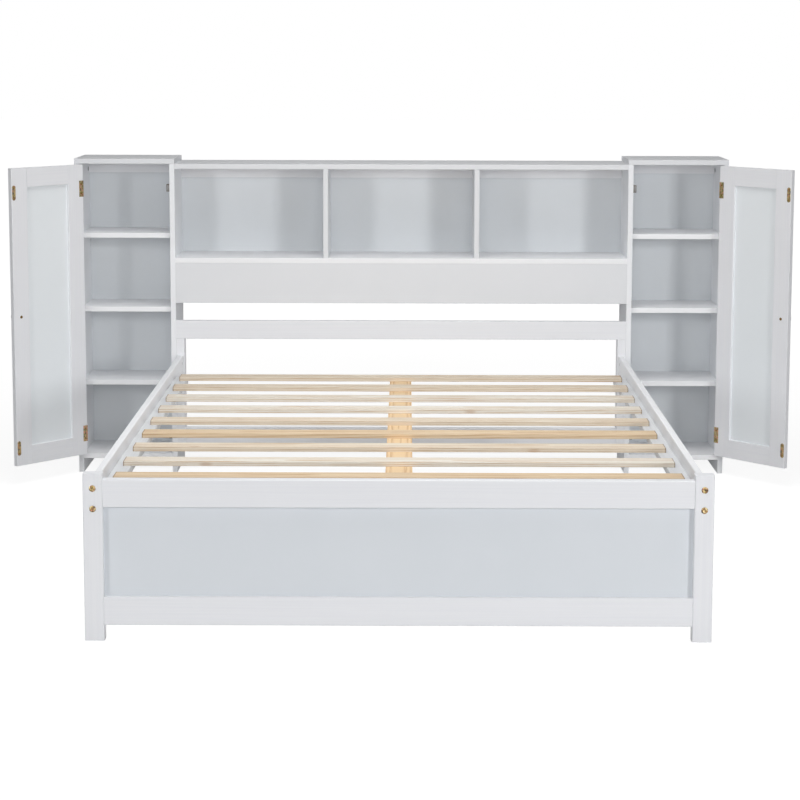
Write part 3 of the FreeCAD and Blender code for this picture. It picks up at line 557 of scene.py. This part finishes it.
DOOR_FRONT = 3.2 * MM      # depths in from the pin
DOOR_BACK = 19.2 * MM
LEAF_FACE = 20.1 * MM
KNOB_PLACE = (255.5 * MM, 532 * MM)
HINGE_MIDDLES = (131 * MM, 919 * MM)
HINGE_SCREW_ACROSS = 9 * MM
HINGE_SCREW_RISES = (-15 * MM, 15 * MM)
STRIKE_ACROSS = 274.5 * MM
STRIKE_MIDDLES = (119 * MM, 919 * MM)
STRIKE_SIZE = (13 * MM, 46 * MM, 1.2 * MM)
STRIKE_DISH = 0.5 * MM
STRIKE_SCREW_RISES = (-15.5 * MM, 15.5 * MM)
TURNED_STEPS = 48
CURVE_STEPS = 10


def knob():
    """A turned knob, from its flared foot through a waist to a domed head."""
    foot, neck, rim = 8.0 * MM, 5.5 * MM, 15.4 * MM
    neck_depth, rim_depth, depth = 9 * MM, 17 * MM, 26 * MM
    shares = [step / CURVE_STEPS for step in range(CURVE_STEPS + 1)]
    profile = [(0.0, 0.0)]
    profile += [(foot - (foot - neck) * math.sin(s * QUARTER), s * neck_depth) for s in shares]
    profile += [(neck + (rim - neck) * s * s, neck_depth + s * (rim_depth - neck_depth))
                for s in shares[1:]]
    rise = depth - rim_depth
    dome = (rim * rim / rise + rise) / 2
    start = math.asin(rim / dome)
    profile += [(dome * math.sin(start * (1 - s)), depth - dome + dome * math.cos(start * (1 - s)))
                for s in shares[1:]]
    return turned(profile, TURNED_STEPS)


def strike():
    """An oval pressed strike plate with a rolled rim and a dished middle."""
    bm = bmesh.new()
    width, height, thick = STRIKE_SIZE
    rolled, border = 0.8 * MM, 1.6 * MM
    bmesh.ops.create_circle(bm, cap_ends=True, segments=TURNED_STEPS, radius=width / 2)
    for vert in bm.verts:
        vert.co.y += math.copysign((height - width) / 2, vert.co.y)
    lifted = bmesh.ops.extrude_face_region(bm, geom=bm.faces[:])["geom"]
    top = [item for item in lifted if isinstance(item, bmesh.types.BMFace)]
    bmesh.ops.translate(bm, vec=(0, 0, thick), verts=top[0].verts[:])
    bmesh.ops.bevel(bm, geom=top[0].edges[:], offset=rolled, segments=EASE_STEPS, profile=0.5,
                    affect="EDGES", material=-1)
    crown = max(bm.faces, key=lambda f: (round(f.calc_center_median().z / MM, 3), f.calc_area()))
    bmesh.ops.inset_region(bm, faces=[crown], thickness=border, depth=-STRIKE_DISH)
    return bm


def eased_blocks(blocks, ease):
    """One bmesh of blocks with rounded edges, each given as its size and its middle in mm."""
    bm = bmesh.new()
    for size, middle in blocks:
        bmesh.ops.create_cube(bm, size=MM, matrix=Matrix.Translation(Vector(middle) * MM)
                              @ Matrix.Diagonal((*size, 1.0)))
    bmesh.ops.bevel(bm, geom=bm.edges[:], offset=ease, segments=EASE_STEPS, profile=0.5,
                    affect="EDGES", material=-1)
    return bm


def on_side(hand, across, along, height, face):
    """Where a fitting sits on a cabinet side: its x towards the foot, y up and z off the face."""
    return Matrix((
        (0.0, 0.0, face * hand, hand * across),
        (-1.0, 0.0, 0.0, along),
        (0.0, 1.0, 0.0, height),
        (0.0, 0.0, 0.0, 1.0),
    ))


# Magnetic catches: a moulded case on a screwed ear, and the magnet between its pole plates
catch_low, catch_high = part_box("magnetic_catches")
catch_along = (catch_low.y + catch_high.y) / 2
catch_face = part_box("right_cabinet_inner_side")[1].x
CATCH_HALF = 12 * MM
CATCH_CASE = ((23, 23.4, 11.8), (5.2, 0, 5.9))
CATCH_EAR = ((14, 16, 4), (-10.8, 0, 2))
CATCH_EASE = 0.8 * MM
POLE_PLATES = (((7, 18, 1.5), (14.4, 0, 3.6)), ((7, 18, 1.5), (14.4, 0, 8.2)))
POLE_EASE = 0.3 * MM
CATCH_SCREWS = ((-12, -4.5, 4), (-12, 4.5, 4))
catch_heights = (catch_low.z + CATCH_HALF, catch_high.z - CATCH_HALF)
catch_places = [on_side(hand, catch_face, catch_along, height, 1)
                for hand in SIDES.values() for height in catch_heights]
case = eased_blocks((CATCH_CASE, CATCH_EAR), CATCH_EASE)
fitted("catch_cases", repeated(case, catch_places), brown_plastic, "bed", "brown_plastic",
       "magnetic_catches")
poles = eased_blocks(POLE_PLATES, POLE_EASE)
fitted("catch_pole_plates", repeated(poles, catch_places), zinc, "bed", "steel")
fitted("catch_screws",
       repeated(cross_screw(*CATCH_SCREW),
                [place @ Matrix.Translation(Vector(spot) * MM)
                 for place in catch_places for spot in CATCH_SCREWS]),
       zinc, "bed", "steel")

# Cam locks that draw the back rails to the cabinet sides
CAM_PLACE = (1054.5 * MM, 969 * MM)
outer_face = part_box("right_cabinet_outer_side")[0].x
fitted("cabinet_cam_locks",
       repeated(cross_screw(*CAM_HEAD),
                [on_side(hand, across, *CAM_PLACE, face) for hand in SIDES.values()
                 for across, face in ((outer_face, -1), (catch_face, 1))]),
       cam_zinc, "bed", "steel")

# The doors' knobs, strikes and screws
across, height = KNOB_PLACE
strike_floor = DOOR_BACK + STRIKE_SIZE[2] - STRIKE_DISH
for side in SIDES:
    body = f"{side}_door"
    fitted(f"{side}_turned_knob",
           repeated(knob(), [on_door(side, across, DOOR_FRONT, height) @ FORWARD]),
           knob_lacquer, body, "knob_paint", f"{side}_door_knob")
    fitted(f"{side}_knob_screw",
           repeated(cross_screw(*KNOB_SCREW),
                    [on_door(side, across, DOOR_BACK, height) @ BACKWARD]),
           screw_brass, body, "brass")
    fitted(f"{side}_hinge_screws",
           repeated(cross_screw(*HINGE_SCREW),
                    [on_door(side, HINGE_SCREW_ACROSS, LEAF_FACE, middle + up) @ BACKWARD
                     for middle in HINGE_MIDDLES for up in HINGE_SCREW_RISES]),
           screw_brass, body, "brass")
    fitted(f"{side}_oval_strikes",
           repeated(strike(), [on_door(side, STRIKE_ACROSS, DOOR_BACK, middle) @ BACKWARD
                               for middle in STRIKE_MIDDLES]),
           strike_brass, body, "brass", f"{side}_door_strikes")
    fitted(f"{side}_strike_screws",
           repeated(cross_screw(*STRIKE_SCREW),
                    [on_door(side, STRIKE_ACROSS, strike_floor, middle + up) @ BACKWARD
                     for middle in STRIKE_MIDDLES for up in STRIKE_SCREW_RISES]),
           screw_brass, body, "brass")


# Studio

def white_to_the_eye(tree):
    """1 where a ray comes from the camera, a mirror-like surface or glass, and 0 elsewhere."""
    path = add(tree, "LightPath", {})
    seen = add(tree, "Math", {0: path.outputs["Is Camera Ray"], 1: path.outputs["Is Glossy Ray"]},
               operation="MAXIMUM")
    through = add(tree, "Math", {0: seen.outputs["Value"], 1: path.outputs["Is Transmission Ray"]},
                  operation="MAXIMUM")
    return through.outputs["Value"]


FILL = 0.1  # the world's light on the object
world = bpy.data.worlds.new("white_studio")
bpy.context.scene.world = world
world.use_nodes = True
tree = world.node_tree
sky = tree.nodes["Background"]
sky.inputs["Color"].default_value = linear("#FFFFFF")
strength = add(tree, "MapRange", {"Value": white_to_the_eye(tree), "To Min": FILL, "To Max": 1.0})
tree.links.new(strength.outputs["Result"], sky.inputs["Strength"])

FLOOR_HALF = 30.0
LIT_PAPER = "#D8D8D8"      # what the floor sends back to the object
SEEN_PAPER = "#8C8C8C"     # what lamps and shadows add to the floor that the eye sees
GLOW_NEAR = (1.6, 0.88)    # metres from the middle, and the floor's own white there
GLOW_FAR = (5.0, 1.0)
bm = bmesh.new()
bmesh.ops.create_grid(bm, x_segments=1, y_segments=1, size=FLOOR_HALF)
mesh = bpy.data.meshes.new("studio_floor")
bm.to_mesh(mesh)
bm.free()
floor = bpy.data.objects.new("studio_floor", mesh)
bpy.context.scene.collection.objects.link(floor)
paper = bpy.data.materials.new("white_studio_paper")
paper.use_nodes = True
tree = paper.node_tree
tree.nodes.remove(tree.nodes["Principled BSDF"])
matt = add(tree, "BsdfDiffuse", {"Color": linear(LIT_PAPER)})
shaded = add(tree, "BsdfDiffuse", {"Color": linear(SEEN_PAPER)})
reach = add(tree, "VectorMath", {0: add(tree, "TexCoord", {}).outputs["Object"]}, operation="LENGTH")
whiter = add(tree, "MapRange", {
    "Value": reach.outputs["Value"], "From Min": GLOW_NEAR[0], "From Max": GLOW_FAR[0],
    "To Min": GLOW_NEAR[1], "To Max": GLOW_FAR[1],
})
glow = add(tree, "Emission", {"Color": linear("#FFFFFF"), "Strength": whiter.outputs["Result"]})
lit = add(tree, "AddShader", {0: shaded.outputs["BSDF"], 1: glow.outputs["Emission"]})
seen = add(tree, "MixShader", {
    0: white_to_the_eye(tree), 1: matt.outputs["BSDF"], 2: lit.outputs["Shader"],
})
tree.links.new(seen.outputs["Shader"], tree.nodes["Material Output"].inputs["Surface"])
mesh.materials.append(paper)


def softbox(name, place, aim, size, power, spread):
    """A studio softbox at a place, turned to its aim, out of the camera's sight. Its place, aim and
    size are in metres, its power in watts and its spread in degrees."""
    lamp = bpy.data.lights.new(name, "AREA")
    lamp.shape = "RECTANGLE"
    lamp.size, lamp.size_y = size
    lamp.energy = power
    lamp.spread = math.radians(spread)
    box = bpy.data.objects.new(name, lamp)
    box.location = place
    box.rotation_euler = (Vector(aim) - Vector(place)).to_track_quat("-Z", "Y").to_euler()
    box.visible_camera = False
    bpy.context.scene.collection.objects.link(box)


OPEN = 180      # a bare softbox, one behind a wide grid and one behind a close grid
GRIDDED = 80
NARROW = 55
softbox("left_softbox", place=(-2.87, -3.25, 1.5), aim=(0.05, 0.75, 0.5), size=(0.6, 1.2),
        power=8.0, spread=GRIDDED)
softbox("right_softbox", place=(3.3, -4.1, 1.5), aim=(-0.05, 0.75, 0.5), size=(0.85, 1.2),
        power=16.2, spread=GRIDDED)
softbox("front_softbox", place=(0.0, -6.6, 1.7), aim=(0.0, 0.4, 0.5), size=(2.5, 2.0),
        power=88, spread=OPEN)
softbox("overhead_softbox", place=(0.0, -0.9, 3.6), aim=(0.0, -0.899, 0.4), size=(2.2, 2.2),
        power=50, spread=OPEN)
softbox("mattress_softbox", place=(0.0, -0.35, 3.2), aim=(0.0, -0.349, 0.4), size=(1.6, 1.6),
        power=4.5, spread=NARROW)
for side, hand in SIDES.items():
    softbox(f"back_{side}_softbox", place=(hand * 4.8, 5.6, 0.26), aim=(hand * 0.9, 1.1, 0.6),
            size=(1.6, 0.44), power=45, spread=OPEN)


# Camera, at the photograph's viewing angle

VIEWPOINT = (0.017, -5.917, 1.399)
PITCH, YAW, ROLL = (math.radians(angle) for angle in (7.57, -0.171, -0.129))
camera = bpy.data.cameras.new("camera")
camera.sensor_width = 36.0
camera.lens = 95.92
camera.shift_y = -0.1
camera.clip_end = 100.0
viewer = bpy.data.objects.new("camera", camera)
viewer.matrix_world = (
    Matrix.Translation(VIEWPOINT)
    @ Matrix.Rotation(-YAW, 4, "Z")
    @ Matrix.Rotation(QUARTER - PITCH, 4, "X")
    @ Matrix.Rotation(-ROLL, 4, "Z")
)
bpy.context.scene.collection.objects.link(viewer)
bpy.context.scene.camera = viewer
bpy.context.scene.view_settings.view_transform = "Standard"
